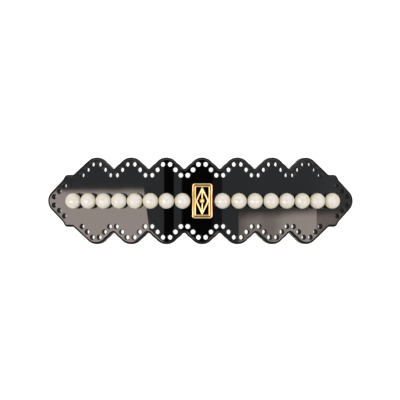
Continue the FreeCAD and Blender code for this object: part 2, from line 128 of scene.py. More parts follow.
class StageSettings(bpy.types.PropertyGroup):
    camera_distance: bpy.props.FloatProperty(
        name="Camera distance", description="From the lens to the plate", default=2.0, unit="LENGTH"
    )
    camera_lean: bpy.props.FloatProperty(
        name="Camera lean", description="How far the camera stands towards -X", default=math.radians(2.3),
        subtype="ANGLE",
    )
    field: bpy.props.FloatProperty(
        name="Field", description="Width that the camera sees at the plate", default=0.1365, unit="LENGTH"
    )
    card_height: bpy.props.FloatProperty(
        name="Card height", description="Height of the reflector cards", default=0.4, unit="LENGTH"
    )


# ---- mesh helpers ----


def strip_faces(rows, columns, first=0):
    """Triangles of a grid of rows whose columns close into a ring, each square cut in two."""
    row = np.arange(rows - 1)[:, None] * columns + first
    column = np.arange(columns)
    following = np.roll(column, -1)
    a, b = row + column, row + following
    c, d = b + columns, a + columns
    return np.concatenate([np.stack([a, b, c], -1).reshape(-1, 3), np.stack([a, c, d], -1).reshape(-1, 3)])


def cap_faces(ring_start, columns, centre, flip):
    """Triangles that close a ring of points to one centre point."""
    column = np.arange(columns)
    a, b = ring_start + column, ring_start + np.roll(column, -1)
    c = np.full(columns, centre)
    return np.stack([b, a, c] if flip else [a, b, c], -1)


def add_piece(name, points, faces, normals, material, body, nodes):
    """Makes one object from arrays of points, triangles and vertex normals, and gives it its place in the
    frame."""
    mesh = bpy.data.meshes.new(name)
    mesh.from_pydata(points.tolist(), [], faces.tolist())
    mesh.polygons.foreach_set("use_smooth", np.ones(len(mesh.polygons), bool))
    if normals is not None:
        mesh.normals_split_custom_set_from_vertices(normals.tolist())
    mesh.materials.append(material)
    mesh.update()
    piece = bpy.data.objects.new(name, mesh)
    bpy.context.scene.collection.objects.link(piece)
    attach(piece, body)
    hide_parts(*nodes)
    return piece


def bend(flat, radius):
    """Lays (s, y, depth) on the bent plate: the angle is s over the radius, and the distance from the bend's
    axis is the radius less the depth."""
    angle = flat[..., 0] / radius
    r = radius - flat[..., 2]
    z = PLATE_HIGH[2] - radius
    return np.stack([r * np.sin(angle), flat[..., 1], r * np.cos(angle) + z], -1)


def bend_directions(flat, directions, radius):
    """Turns directions (along s, along y, out of the face) with the plate at each place."""
    angle = flat[..., 0] / radius
    along, across, out = directions[..., 0], directions[..., 1], directions[..., 2]
    return np.stack([
        along * np.cos(angle) + out * np.sin(angle), across, out * np.cos(angle) - along * np.sin(angle),
    ], -1)


# ---- material helpers ----


def linear(srgb):
    """Display colour to linear light."""
    value = np.asarray(srgb, float)[:3]
    low = value / 12.92
    high = ((value + 0.055) / 1.055) ** 2.4
    return (*np.where(value <= 0.04045, low, high).tolist(), 1.0)


def hex_linear(code):
    """A colour such as "#e8e4da" to linear light."""
    return linear([int(code[i:i + 2], 16) / 255 for i in (1, 3, 5)])


def add_node(tree, kind, inputs=None, **settings):
    """Adds one node; inputs maps its sockets to values or to the sockets that feed them."""
    made = tree.nodes.new(kind)
    for name, value in settings.items():
        setattr(made, name, value)
    for name, value in (inputs or {}).items():
        if isinstance(value, bpy.types.NodeSocket):
            tree.links.new(value, made.inputs[name])
        else:
            made.inputs[name].default_value = value
    return made


def new_tree(name):
    material = bpy.data.materials.new(name)
    material.use_nodes = True
    material.node_tree.nodes.clear()
    return material, material.node_tree


def noise(tree, vector, scale, detail=3.0, roughness=0.5):
    return add_node(
        tree, "ShaderNodeTexNoise",
        {"Vector": vector, "Scale": scale, "Detail": detail, "Roughness": roughness},
    ).outputs["Fac"]


def spread(tree, value, low, high):
    """Stretches a noise's middle range to low..high."""
    return add_node(
        tree, "ShaderNodeMapRange",
        {"Value": value, "From Min": 0.3, "From Max": 0.7, "To Min": low, "To Max": high},
    ).outputs["Result"]


def acetate():
    """Tumble polished cellulose acetate: nearly black through its depth, with a wet gloss, faint waves left
    by the tumbling that break up reflections, and the finest handling scuffs. The drilled walls stay matt,
    because the tumbling barely reaches them."""
    material, tree = new_tree("tumbled_black_acetate")
    place = add_node(tree, "ShaderNodeTexCoord").outputs["Object"]
    waves = noise(tree, place, 90.0, 1.0)
    scuffs = noise(tree, place, 2600.0, 4.0, 0.65)
    colour = bpy.context.scene.barrette_plate.colour
    deep = [channel * 0.75 for channel in colour]
    depth = spread(tree, noise(tree, place, 260.0), 0.0, 1.0)
    tint = add_node(
        tree, "ShaderNodeMix", {"Factor": depth, "A": linear(deep), "B": linear(colour)}, data_type="RGBA"
    ).outputs["Result"]
    wave_bump = add_node(
        tree, "ShaderNodeBump", {"Strength": 0.04, "Distance": 0.00012, "Height": waves}
    ).outputs["Normal"]
    scuff_bump = add_node(
        tree, "ShaderNodeBump",
        {"Strength": 0.03, "Distance": 0.000003, "Height": scuffs, "Normal": wave_bump},
    ).outputs["Normal"]
    drilled = add_node(tree, "ShaderNodeAttribute", attribute_name="drilled").outputs["Fac"]
    gloss = add_node(
        tree, "ShaderNodeMix", {"Factor": drilled, "A": spread(tree, scuffs, 0.012, 0.035), "B": 0.6},
    ).outputs["Result"]
    shader = add_node(tree, "ShaderNodeBsdfPrincipled", {
        "Base Color": tint, "Roughness": gloss, "IOR": 1.48, "Normal": scuff_bump,
    })
    add_node(tree, "ShaderNodeOutputMaterial", {"Surface": shader.outputs["BSDF"]})
    return material


def nacre():
    """Nacre essence dipped over a glass bead: a satin body with a clear coat, a trace of thin-film colour,
    patches of warmer cream where the dip is thicker, and the faintest orange peel from dipping."""
    material, tree = new_tree("dipped_nacre_bead")
    place = add_node(tree, "ShaderNodeTexCoord").outputs["Object"]
    colour = bpy.context.scene.barrette_beads.colour
    warm = [colour[0] * 0.985, colour[1] * 0.965, colour[2] * 0.90]
    patches = spread(tree, noise(tree, place, 330.0, 2.0), 0.0, 1.0)
    tint = add_node(
        tree, "ShaderNodeMix", {"Factor": patches, "A": linear(colour), "B": linear(warm)}, data_type="RGBA"
    ).outputs["Result"]
    peel = add_node(
        tree, "ShaderNodeBump",
        {"Strength": 0.14, "Distance": 0.00003, "Height": noise(tree, place, 1500.0, 2.0)},
    ).outputs["Normal"]
    shader = add_node(tree, "ShaderNodeBsdfPrincipled", {
        "Base Color": tint, "Roughness": 0.32, "IOR": 1.53, "Normal": peel,
        "Subsurface Weight": 0.25, "Subsurface Radius": (0.0012, 0.0009, 0.0006), "Subsurface Scale": 1.0,
        "Coat Weight": 0.9, "Coat Roughness": 0.12, "Coat IOR": 1.5, "Coat Tint": hex_linear("#fffcf4"),
        "Sheen Weight": 0.12, "Sheen Roughness": 0.4,
        "Thin Film Thickness": 320.0, "Thin Film IOR": 1.33,
    })
    add_node(tree, "ShaderNodeOutputMaterial", {"Surface": shader.outputs["BSDF"]})
    return material


def gilding():
    """Gold flash plated on a zinc casting: satin skin left by the mould, soft mottling where it was wiped,
    and painted shade in the frame's groove, a dark brown mixed in where the groove sits low."""
    material, tree = new_tree("gold_plated_zinc_casting")
    place = add_node(tree, "ShaderNodeTexCoord").outputs["Object"]
    colour = bpy.context.scene.barrette_emblem.colour
    deep = [colour[0] * 0.97, colour[1] * 0.94, colour[2] * 0.88]
    mottle = spread(tree, noise(tree, place, 700.0), 0.0, 1.0)
    worn = add_node(
        tree, "ShaderNodeMix", {"Factor": mottle, "A": linear(colour), "B": linear(deep)}, data_type="RGBA"
    ).outputs["Result"]
    # painted shade: where the frame's groove sits low, its gold is mixed towards dark brown
    painted_groove_shade = add_node(tree, "ShaderNodeAttribute", attribute_name="painted_groove_shade").outputs["Fac"]
    tint = add_node(
        tree, "ShaderNodeMix", {"Factor": painted_groove_shade, "A": worn, "B": hex_linear("#8a6430")}, data_type="RGBA"
    ).outputs["Result"]
    grain = noise(tree, place, 3500.0, 4.0, 0.6)
    skin = add_node(
        tree, "ShaderNodeBump", {"Strength": 0.25, "Distance": 0.00003, "Height": grain}
    ).outputs["Normal"]
    shader = add_node(tree, "ShaderNodeBsdfPrincipled", {
        "Base Color": tint, "Metallic": 1.0, "Roughness": spread(tree, grain, 0.26, 0.36), "Normal": skin,
    })
    add_node(tree, "ShaderNodeOutputMaterial", {"Surface": shader.outputs["BSDF"]})
    return material


def nickel(name, low, high, drawn, darken):
    """Nickel plated on steel. Strip keeps the drawn lines of the rolling mill along its length, here about
    0.2 mm apart so that they show; drawn is 1 for strip and 0 for turned rivets. Low and high bound its
    roughness, and darken scales its colour."""
    material, tree = new_tree(name)
    place = add_node(tree, "ShaderNodeTexCoord").outputs["Object"]
    stretch = (1.0 - 0.97 * drawn, 1.0, 1.0)
    lines = add_node(tree, "ShaderNodeMapping", {"Vector": place, "Scale": stretch}).outputs["Vector"]
    grain = noise(tree, lines, 5000.0, 3.0, 0.6)
    cloud = noise(tree, place, 400.0)
    colour = [channel * darken for channel in bpy.context.scene.barrette_clip.colour]
    dull = [channel * 0.88 for channel in colour]
    tint = add_node(
        tree, "ShaderNodeMix",
        {"Factor": spread(tree, cloud, 0.0, 1.0), "A": linear(colour), "B": linear(dull)}, data_type="RGBA",
    ).outputs["Result"]
    bump = add_node(
        tree, "ShaderNodeBump", {"Strength": 0.2, "Distance": 0.00001, "Height": grain}
    ).outputs["Normal"]
    shader = add_node(tree, "ShaderNodeBsdfPrincipled", {
        "Base Color": tint, "Metallic": 1.0, "Roughness": spread(tree, grain, low, high), "Normal": bump,
    })
    add_node(tree, "ShaderNodeOutputMaterial", {"Surface": shader.outputs["BSDF"]})
    return material


# ---- plate ----

SCALLOP_PITCH = 12.3 * MM
SCALLOPS_EACH_SIDE = 3  # besides the middle one
CREST_HEIGHT = 14.84 * MM
CAP_RADIUS = 4.45 * MM
CAP_HALF_CHORD = 3.6 * MM
SHOULDER_BULGE = (0.08 * MM, 0.09 * MM)
VALLEY_HALF_WIDTH = 0.55 * MM
VALLEY_HEIGHT = 10.95 * MM
VALLEY_FOOT = 11.2 * MM  # where its fillet meets the shoulders
FLANK_SLOPE = 0.87  # of the outermost scallops' outer flanks
EAR_HEIGHT = 8.94 * MM
EAR_END = 47.7 * MM
EAR_CORNER = ((48.45 * MM, 8.57 * MM), (48.82 * MM, 7.99 * MM))  # the middle and the end of its round corner
TIP_SHOULDER = (49.4 * MM, 7.1 * MM)
TIP_END = 55.0 * MM
TIP_RADIUS = 4.2 * MM
TIP_SLOPE = 0.947
LOOP_POINTS = 1300
CORNER_SOFTENING = 0.22 * MM
HOLE_RADIUS = 0.8 * MM
HOLE_SIDES = 32
HOLES_PER_FLANK = 3
CREST_HOLE = np.array([1.25, 12.45])  # millimetres from the crest's middle, with the step to the next one
HOLE_STEP = np.array([1.85, -1.85])
END_HOLE = np.array([48.4, 5.15])
END_HOLE_STEP = np.array([1.95, -1.85])
FACE_SPACING = 0.8 * MM  # between the points inside the face


def arc_through(a, b, c, count=24):
    """Points on the circle through three points, from a to c: the centre is where their bisectors meet."""
    a, b, c = (np.array(p, float) for p in (a, b, c))
    rows = np.array([b - a, c - b])
    centre = np.linalg.solve(rows, np.array([(b @ b - a @ a) / 2, (c @ c - b @ b) / 2]))
    start, middle, end = (math.atan2(*(p - centre)[::-1]) for p in (a, b, c))
    turn = (end - start) % math.tau
    if (middle - start) % math.tau > turn:
        turn -= math.tau
    angle = start + turn * np.linspace(0, 1, count)
    return centre + np.linalg.norm(a - centre) * np.stack([np.cos(angle), np.sin(angle)], -1)


def cap_height(offset):
    """Height of a scallop's round cap at an offset from its crest."""
    return CREST_HEIGHT - CAP_RADIUS + math.sqrt(CAP_RADIUS**2 - offset**2)


def quarter_outline():
    """The plate's edge from the middle crest to the right tip: round caps, bulged shoulders and filleted
    valleys, then the straight flank, the ear and the blunt tip."""
    cap, half, gap = CAP_HALF_CHORD, CAP_HALF_CHORD / 2, VALLEY_HALF_WIDTH
    edge = cap_height(cap)
    bulge_x = (cap + SCALLOP_PITCH / 2 - gap) / 2 + SHOULDER_BULGE[0]
    bulge_y = (edge + VALLEY_FOOT) / 2 + SHOULDER_BULGE[1]
    parts = []
    for k in range(SCALLOPS_EACH_SIDE):
        crest, middle, following = (step * SCALLOP_PITCH for step in (k, k + 0.5, k + 1))
        leave, arrive = (middle - gap, VALLEY_FOOT), (middle + gap, VALLEY_FOOT)
        shoulder, next_shoulder = (crest + cap, edge), (following - cap, edge)
        parts += [
            arc_through((crest, CREST_HEIGHT), (crest + half, cap_height(half)), shoulder),
            arc_through(shoulder, (crest + bulge_x, bulge_y), leave),
            arc_through(leave, (middle, VALLEY_HEIGHT), arrive),
            arc_through(arrive, (following - bulge_x, bulge_y), next_shoulder),
            arc_through(next_shoulder, (following - half, cap_height(half)), (following, CREST_HEIGHT)),
        ]
    crest = SCALLOPS_EACH_SIDE * SCALLOP_PITCH
    turn = math.atan(FLANK_SLOPE)
    part_way, leave = (
        (crest + CAP_RADIUS * math.sin(angle), cap_height(CAP_RADIUS * math.sin(angle)))
        for angle in (turn / 2, turn)
    )
    ear_start = leave[0] + (leave[1] - EAR_HEIGHT) / FLANK_SLOPE
    tip_turn = math.atan(TIP_SLOPE)
    tip_middle = TIP_END - TIP_RADIUS
    meet = (tip_middle + TIP_RADIUS * math.sin(tip_turn), TIP_RADIUS * math.cos(tip_turn))
    swing = (math.pi / 2 - tip_turn) / 2
    on_tip = (tip_middle + TIP_RADIUS * math.cos(swing), TIP_RADIUS * math.sin(swing))
    parts += [
        arc_through((crest, CREST_HEIGHT), part_way, leave),
        np.array([leave, (ear_start, EAR_HEIGHT)]),
        arc_through((EAR_END, EAR_HEIGHT), *EAR_CORNER),
        np.array([TIP_SHOULDER, meet]),
        arc_through(meet, on_tip, (TIP_END, 0)),
    ]
    return np.concatenate(parts)


def closed_outline(count=LOOP_POINTS, soften=CORNER_SOFTENING):
    """The whole edge, clockwise: four mirrored quarters, spaced evenly, then smoothed round the loop by a
    bell curve, as tumbling rounds every corner."""
    quarter = quarter_outline()
    back = quarter[::-1]
    loop = np.concatenate([
        quarter, back * (1, -1), quarter * (-1, -1), back * (-1, 1),
    ])
    step = np.linalg.norm(np.roll(loop, -1, 0) - loop, axis=1)
    loop = loop[step > 1e-7]
    closed = np.concatenate([loop, loop[:1]])
    length = np.concatenate([[0], np.cumsum(np.linalg.norm(np.diff(closed, axis=0), axis=1))])
    at = np.linspace(0, length[-1], count, endpoint=False)
    even = np.stack([np.interp(at, length, closed[:, axis]) for axis in (0, 1)], -1)
    frequency = np.fft.fftfreq(count, length[-1] / count)
    bell = np.exp(-2 * (math.pi * frequency * soften) ** 2)[:, None]
    return np.fft.ifft(np.fft.fft(even, axis=0) * bell, axis=0).real


def hole_centres():
    """Three holes down each flank of every scallop, and three down each flank of both tips."""
    step = np.arange(HOLES_PER_FLANK)[:, None]
    flank = (CREST_HOLE + step * HOLE_STEP) * MM
    both = np.concatenate([flank, flank * (-1, 1)])
    crest = np.arange(-SCALLOPS_EACH_SIDE, SCALLOPS_EACH_SIDE + 1)[:, None, None]
    tip = (END_HOLE + step * END_HOLE_STEP) * MM
    upper = np.concatenate([(both + crest * np.array([SCALLOP_PITCH, 0])).reshape(-1, 2), tip, tip * (-1, 1)])
    return np.concatenate([upper, upper * (1, -1)])


def edge_profile(front, back, thickness, turns_front, turns_back):
    """Down an edge, from the front face to the back: how far in from the edge, how deep, and the normal's
    lean. A quarter circle, a straight wall, then a quarter circle."""
    lean_front = np.linspace(0, math.pi / 2, turns_front)
    lean_back = np.linspace(math.pi / 2, math.pi, turns_back)
    inset = np.concatenate([front * (1 - np.sin(lean_front)), back * (1 - np.sin(lean_back))])
    depth = np.concatenate([front * (1 - np.cos(lean_front)), thickness - back * (1 + np.cos(lean_back))])
    return inset, depth, np.concatenate([lean_front, lean_back])


def carried(loops, outs, profile):
    """Carries an edge profile round closed loops: each point steps in from the edge by the inset."""
    inset, depth, lean = (column[:, None] for column in profile)
    shape = (len(loops), len(profile[0]), loops.shape[1])
    plane = loops[:, None] - outs[:, None] * inset[None, :, :, None]
    down = np.broadcast_to(depth[None], shape)
    flat = np.concatenate([plane, down[..., None]], -1)
    level = outs[:, None] * np.sin(lean)[None, :, :, None]
    rise = np.broadcast_to(np.cos(lean)[None], shape)
    return flat, np.concatenate([np.broadcast_to(level, plane.shape), rise[..., None]], -1)


def inside(points, loop):
    """Whether points lie inside a closed loop: a ray along x crosses it an odd number of times."""
    a, b = loop, np.roll(loop, -1, 0)
    y = points[:, 1, None]
    spans = (a[:, 1] > y) != (b[:, 1] > y)
    slope = (b[:, 0] - a[:, 0]) / np.where(b[:, 1] == a[:, 1], 1, b[:, 1] - a[:, 1])
    crossing = a[:, 0] + (y - a[:, 1]) * slope
    return (spans & (points[:, 0, None] < crossing)).sum(1) % 2 == 1


def face_mesh(rim, hole_rims, centres, hole_reach, spacing):
    """Triangles of a flat face with round holes, from its loops and an even grid of points between them."""
    columns = hole_rims.shape[1]
    low, high = rim.min(0), rim.max(0)
    x, y = (np.arange(low[axis] + spacing / 2, high[axis], spacing) for axis in (0, 1))
    grid = np.stack(np.meshgrid(x, y), -1).reshape(-1, 2)
    clear = np.linalg.norm(grid[:, None] - centres, axis=2).min(1) > hole_reach + spacing * 0.45
    grid = grid[clear & inside(grid, rim)]
    away = np.linalg.norm(grid[:, None] - rim[::4], axis=2).min(1) > spacing * 0.5
    grid = grid[away]
    points = np.concatenate([rim, hole_rims.reshape(-1, 2), grid])
    outer = np.arange(len(rim))
    ring = len(rim) + np.arange(len(hole_rims))[:, None] * columns
    around = np.stack([ring + np.arange(columns), ring + np.roll(np.arange(columns), -1)], -1).reshape(-1, 2)
    edges = np.concatenate([np.stack([outer, np.roll(outer, -1)], -1), around])
    made = delaunay_2d_cdt(points.tolist(), edges.tolist(), [outer[::-1].tolist()], 1, 1e-9)
    if len(made[0]) != len(points):
        raise RuntimeError("the plate's face did not triangulate cleanly")
    faces = np.array(made[2])
    middle = points[faces].mean(1)
    faces = faces[np.linalg.norm(middle[:, None] - centres, axis=2).min(1) > hole_reach]
    a, b, c = (points[faces[:, k]] for k in range(3))
    turn = (b - a)[:, 0] * (c - a)[:, 1] - (b - a)[:, 1] * (c - a)[:, 0]
    faces[turn < 0] = faces[turn < 0][:, ::-1]
    return faces, grid


class BARRETTE_OT_plate(bpy.types.Operator):
    """Rebuild the scalloped acetate plate with tumbled edges"""

    bl_idname = "barrette.plate"
    bl_label = "Plate"

    def execute(self, context):
        settings = context.scene.barrette_plate
        loop = closed_outline()
        along = np.roll(loop, -1, 0) - np.roll(loop, 1, 0)
        along /= np.linalg.norm(along, axis=1)[:, None]
        outward = np.stack([-along[:, 1], along[:, 0]], -1)
        centres = hole_centres()
        angle = np.linspace(0, math.tau, HOLE_SIDES, endpoint=False)
        spoke = np.stack([np.cos(angle), np.sin(angle)], -1)
        holes = centres[:, None] + HOLE_RADIUS * spoke
        inward = np.broadcast_to(-spoke, holes.shape)

        edge = edge_profile(settings.front_round, settings.back_round, settings.thickness, 12, 5)
        rim = edge_profile(settings.hole_round, settings.hole_round, settings.thickness, 5, 4)
        outer_flat, outer_lean = carried(loop[None], outward[None], edge)
        hole_flat, hole_lean = carried(holes, inward, rim)

        rows, columns = outer_flat.shape[1:3]
        faces = [strip_faces(rows, columns)]
        start = rows * columns
        hole_rows, hole_columns = hole_flat.shape[1:3]
        one_hole = strip_faces(hole_rows, hole_columns)
        offsets = start + np.arange(len(centres)) * hole_rows * hole_columns
        faces.append((one_hole[None] + offsets[:, None, None]).reshape(-1, 3))
        flats = [outer_flat.reshape(-1, 3), hole_flat.reshape(-1, 3)]
        leans = [outer_lean.reshape(-1, 3), hole_lean.reshape(-1, 3)]
        total = start + hole_flat[..., 0].size
        for row, side, depth in ((0, 1.0, 0.0), (-1, -1.0, settings.thickness)):
            reach = HOLE_RADIUS + settings.hole_round
            triangles, grid = face_mesh(
                outer_flat[0, row, :, :2], hole_flat[:, row, :, :2], centres, reach, FACE_SPACING
            )
            outer_index = (row % rows) * columns + np.arange(columns)
            hole_index = offsets[:, None] + (row % hole_rows) * hole_columns + np.arange(hole_columns)
            index = np.concatenate([outer_index, hole_index.reshape(-1), total + np.arange(len(grid))])
            triangles = index[triangles]
            faces.append(triangles if side > 0 else triangles[:, ::-1])
            flats.append(np.column_stack([grid, np.full(len(grid), depth)]))
            leans.append(np.tile([0.0, 0.0, side], (len(grid), 1)))
            total += len(grid)
        flat, lean = np.concatenate(flats), np.concatenate(leans)
        points = bend(flat, settings.bend_radius)
        normals = bend_directions(flat, lean, settings.bend_radius)
        plate = add_piece(
            "scalloped_plate", points, np.concatenate(faces), normals, acetate(), "barrette",
            ["front_plate"],
        )
        drilled = np.zeros(len(points))
        matt = np.interp(np.arange(hole_rows), (1, 3, hole_rows - 4, hole_rows - 2), (0, 1, 1, 0))
        walls = np.broadcast_to(matt[None, :, None], hole_flat.shape[:3])
        drilled[start:start + walls.size] = walls.reshape(-1)
        plate.data.attributes.new("drilled", "FLOAT", "POINT").data.foreach_set("value", drilled)
        return {"FINISHED"}


# ---- beads ----


class BARRETTE_OT_beads(bpy.types.Operator):
    """Make the row of nacre beads, each ground flat where it sits"""

    bl_idname = "barrette.beads"
    bl_label = "Beads"

    def execute(self, context):
        settings = context.scene.barrette_beads
        radius = context.scene.barrette_plate.bend_radius
        finish = nacre()
        rows, columns = 40, 64
        lowest = math.acos(-(1 - settings.sink / settings.radius))
        polar = np.linspace(0, lowest, rows)[1:, None]
        turn = np.linspace(0, math.tau, columns, endpoint=False)[None]
        level = np.sin(polar)
        ball = np.stack([level * np.cos(turn), level * np.sin(turn), np.cos(polar) + 0 * turn], -1)
        normals = np.concatenate([ball.reshape(-1, 3), [[0, 0, 1], [0, 0, -1]]])
        shape = np.concatenate([
            ball.reshape(-1, 3), [[0, 0, 1], [0, 0, math.cos(lowest)]],
        ]) * settings.radius
        ring = len(normals) - 2
        faces = np.concatenate([
            strip_faces(rows - 1, columns)[:, ::-1], cap_faces(0, columns, ring, False),
            cap_faces((rows - 2) * columns, columns, ring + 1, True),
        ])
        axis_z = PLATE_HIGH[2] - radius
        for node in BEAD_NODES:
            low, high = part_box(node)
            middle_x = (low[0] + high[0]) / 2
            lift = radius + settings.radius - settings.sink
            lean = math.asin(middle_x / lift)
            centre = np.array([lift * math.sin(lean), 0, lift * math.cos(lean) + axis_z])
            c, s = math.cos(lean), math.sin(lean)
            tilt = np.array([[c, 0, s], [0, 1, 0], [-s, 0, c]])
            name = node.replace("bead", "nacre_bead")
            place = shape @ tilt.T + centre
            add_piece(name, place, faces, normals @ tilt.T, finish, "barrette", [node])
        return {"FINISHED"}


# ---- emblem ----

EMBLEM_TRIM = 0.16 * MM  # what tumbling takes off its width
EMBLEM_CORNER = 0.9 * MM
EMBLEM_INNER_CORNER = 0.22 * MM
EMBLEM_FLOOR = 0.75 * MM  # heights above the plate's crown
EMBLEM_CREST = 1.10 * MM
EMBLEM_SEAT = -0.05 * MM
GROOVE_DIP = 0.06 * MM
GROOVE_SHADE_RISE = 0.14 * MM  # over which the painted shade in the groove fades out
GROOVE_SHADE_TOP = 0.10 * MM
LOZENGE_REACH = np.array([0.2 * MM, 0.4 * MM])  # how far its points run into the frame
LOZENGE_BAND = 0.62 * MM
LOZENGE_CROWN = 0.22 * MM
LOZENGE_STEPS = 12
BOSS_RADIUS = 0.85 * MM
BOSS_SINK = 0.2 * MM
BOSS_SQUASH = 0.95
BOSS_TOP = 0.6175 * MM
BOSS_SIDES = 40
STEM_HALF_WIDTH = 0.25 * MM
STEM_SINK = 0.35 * MM
STEM_START = 0.4 * MM
STEM_SHORT = 0.2 * MM  # how far its end stays back from the lozenge's point
STEM_ROWS = 5


def rectangle_ring(width, height, corner, per_corner=10):
    """Points round a rectangle with round corners, counterclockwise: each corner's arc is centred a radius
    in."""
    angle = np.linspace(0, math.pi / 2, per_corner)
    parts = []
    for k, (sx, sy) in enumerate(((1, 1), (-1, 1), (-1, -1), (1, -1))):
        centre = np.array([sx * (width / 2 - corner), sy * (height / 2 - corner)])
        turn = angle + k * math.pi / 2
        parts.append(centre + corner * np.stack([np.cos(turn), np.sin(turn)], -1))
    return np.concatenate(parts)


def banded(rings, heights, seat):
    """A closed band from a stack of rings, outermost first, each at its height, with a flat underside at
    seat."""
    stack = [np.column_stack([rings[0], np.full(len(rings[0]), seat)])]
    stack += [np.column_stack([ring, np.full(len(ring), h)]) for ring, h in zip(rings, heights)]
    stack.append(np.column_stack([rings[-1], np.full(len(rings[-1]), seat)]))
    stack.append(stack[0])
    points = np.concatenate(stack[:-1])
    count = len(rings[0])
    faces = strip_faces(len(stack) - 1, count)
    last = strip_faces(2, count)
    joined = np.where(last >= count, last - count, last + (len(stack) - 2) * count)
    return points, np.concatenate([faces, joined])[:, ::-1]


def ridge_profile(band, ridge, floor, crest, count=7):
    """Across the frame, from its outer edge in: a half-round ridge, a hollow groove, a half-round ridge."""
    angle = np.linspace(0, math.pi, count)
    bump = (1 - np.cos(angle)) / 2 * ridge
    rise = floor + (crest - floor) * np.sin(angle) ** 0.6
    groove = np.linspace(ridge, band - ridge, 5)[1:-1]
    return (
        np.concatenate([bump, groove, band - ridge + bump]),
        np.concatenate([rise, np.full(len(groove), floor - GROOVE_DIP), rise]),
    )


class BARRETTE_OT_emblem(bpy.types.Operator):
    """Make the gilt openwork plaque: a double ridged frame round a lozenge with a domed boss"""

    bl_idname = "barrette.emblem"
    bl_label = "Emblem"

    def execute(self, context):
        settings = context.scene.barrette_emblem
        low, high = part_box("emblem")
        size = np.array([high[0] - low[0] - EMBLEM_TRIM, high[1] - low[1]])
        floor, seat = EMBLEM_FLOOR, EMBLEM_SEAT
        across, heights = ridge_profile(settings.band, settings.ridge, floor, EMBLEM_CREST)
        rings = [
            rectangle_ring(*(size - 2 * u), max(EMBLEM_CORNER - u * 0.6, EMBLEM_INNER_CORNER)) for u in across
        ]
        frame_points, frame_faces = banded(rings, heights, seat)

        half = size / 2 - settings.band + LOZENGE_REACH
        run = math.hypot(*(half - LOZENGE_REACH))
        thin = LOZENGE_BAND * run / (half - LOZENGE_REACH)[::-1]
        share = np.linspace(0, 1, 7)
        rise = floor - LOZENGE_CROWN * (2 * share - 1) ** 2
        corners = np.array([(1, 0), (0, 1), (-1, 0), (0, -1)], float)
        sides = np.linspace(0, 1, LOZENGE_STEPS, endpoint=False)[:, None]
        unit = np.concatenate([corners[k] * (1 - sides) + corners[(k + 1) % 4] * sides for k in range(4)])
        lozenge_points, lozenge_faces = banded([unit * (half - thin * u) for u in share], rise, seat)

        angle = np.linspace(0, math.tau, BOSS_SIDES, endpoint=False)
        spoke = np.stack([np.cos(angle), np.sin(angle)], -1)
        climb = np.linspace(0, math.pi / 2, 9)[:-1]
        boss_rings = [BOSS_RADIUS * math.cos(t) * spoke for t in climb]
        boss_heights = [floor - BOSS_SINK + BOSS_RADIUS * math.sin(t) * BOSS_SQUASH for t in climb]
        dome = [
            np.column_stack([ring, np.full(BOSS_SIDES, h)])
            for ring, h in zip([boss_rings[0], *boss_rings], [seat, *boss_heights])
        ]
        boss_points = np.concatenate([*dome, [[0, 0, floor + BOSS_TOP], [0, 0, seat]]])
        crown = len(dome) * BOSS_SIDES
        boss_faces = np.concatenate([
            strip_faces(len(dome), BOSS_SIDES), cap_faces(crown - BOSS_SIDES, BOSS_SIDES, crown, False),
            cap_faces(0, BOSS_SIDES, crown + 1, True),
        ])

        shapes = [(frame_points, frame_faces), (lozenge_points, lozenge_faces), (boss_points, boss_faces)]
        shapes += [self.stem(sign, half[1]) for sign in (1, -1)]
        points, faces, count = [], [], 0
        for some_points, some_faces in shapes:
            points.append(some_points)
            faces.append(some_faces + count)
            count += len(some_points)
        points = np.concatenate(points) + (0, 0, PLATE_HIGH[2])
        piece = add_piece(
            "gilt_plaque", points, np.concatenate(faces), None, gilding(), "barrette", ["emblem"]
        )
        painted_groove_shade = np.zeros(len(points))
        # painted shade: the mask is 1 at the groove's low points and fades to 0 up its sides, darkening them
        # to brown
        painted_groove_shade[:len(frame_points)] = np.clip((floor + GROOVE_SHADE_TOP - frame_points[:, 2]) / GROOVE_SHADE_RISE, 0, 1)
        piece.data.attributes.new("painted_groove_shade", "FLOAT", "POINT").data.foreach_set("value", painted_groove_shade)
        crease = piece.modifiers.new("crease", "EDGE_SPLIT")
        crease.split_angle = math.radians(50)
        return {"FINISHED"}

    @staticmethod
    def stem(sign, reach):
        """A bar from the boss to the frame with a half-round top, closed at both ends."""
        angle = np.linspace(0, math.pi, 9)
        half = STEM_HALF_WIDTH
        x = np.concatenate([half * np.cos(angle), [-half, half]])
        z = np.concatenate([EMBLEM_FLOOR - STEM_SINK + half * np.sin(angle), [EMBLEM_SEAT, EMBLEM_SEAT]])
        rows = np.linspace(STEM_START, reach - STEM_SHORT, STEM_ROWS)[:, None]
        grid = np.stack([x + 0 * rows, sign * rows + 0 * x, z + 0 * rows], -1)
        ends = np.array([[0, sign * row[0], EMBLEM_FLOOR * 0.4] for row in (rows[0], rows[-1])])
        count = len(x)
        first_end = STEM_ROWS * count
        faces = np.concatenate([
            strip_faces(STEM_ROWS, count)[:, ::-1], cap_faces(0, count, first_end, False),
            cap_faces(first_end - count, count, first_end + 1, True),
        ])
        points = np.concatenate([grid.reshape(-1, 3), ends])
        return points, faces if sign < 0 else faces[:, ::-1]


# ---- clip ----


class BARRETTE_OT_clip(bpy.types.Operator):
    """Give the clip's stamped strips, springs and rivets their nickel"""

    bl_idname = "barrette.clip"
    bl_label = "Clip"

    def execute(self, context):
        finishes = (
            (STEEL_NODES, nickel("nickel_plated_strip", 0.20, 0.34, 1.0, 1.0)),
            (SPRING_NODES, nickel("nickel_plated_spring_steel", 0.16, 0.28, 1.0, 0.92)),
            (RIVET_NODES, nickel("nickel_plated_rivets", 0.12, 0.22, 0.0, 1.0)),
        )
        for names, finish in finishes:
            for name in names:
                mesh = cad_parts[name].data
                mesh.materials.clear()
                mesh.materials.append(finish)
        return {"FINISHED"}


# ---- stage ----

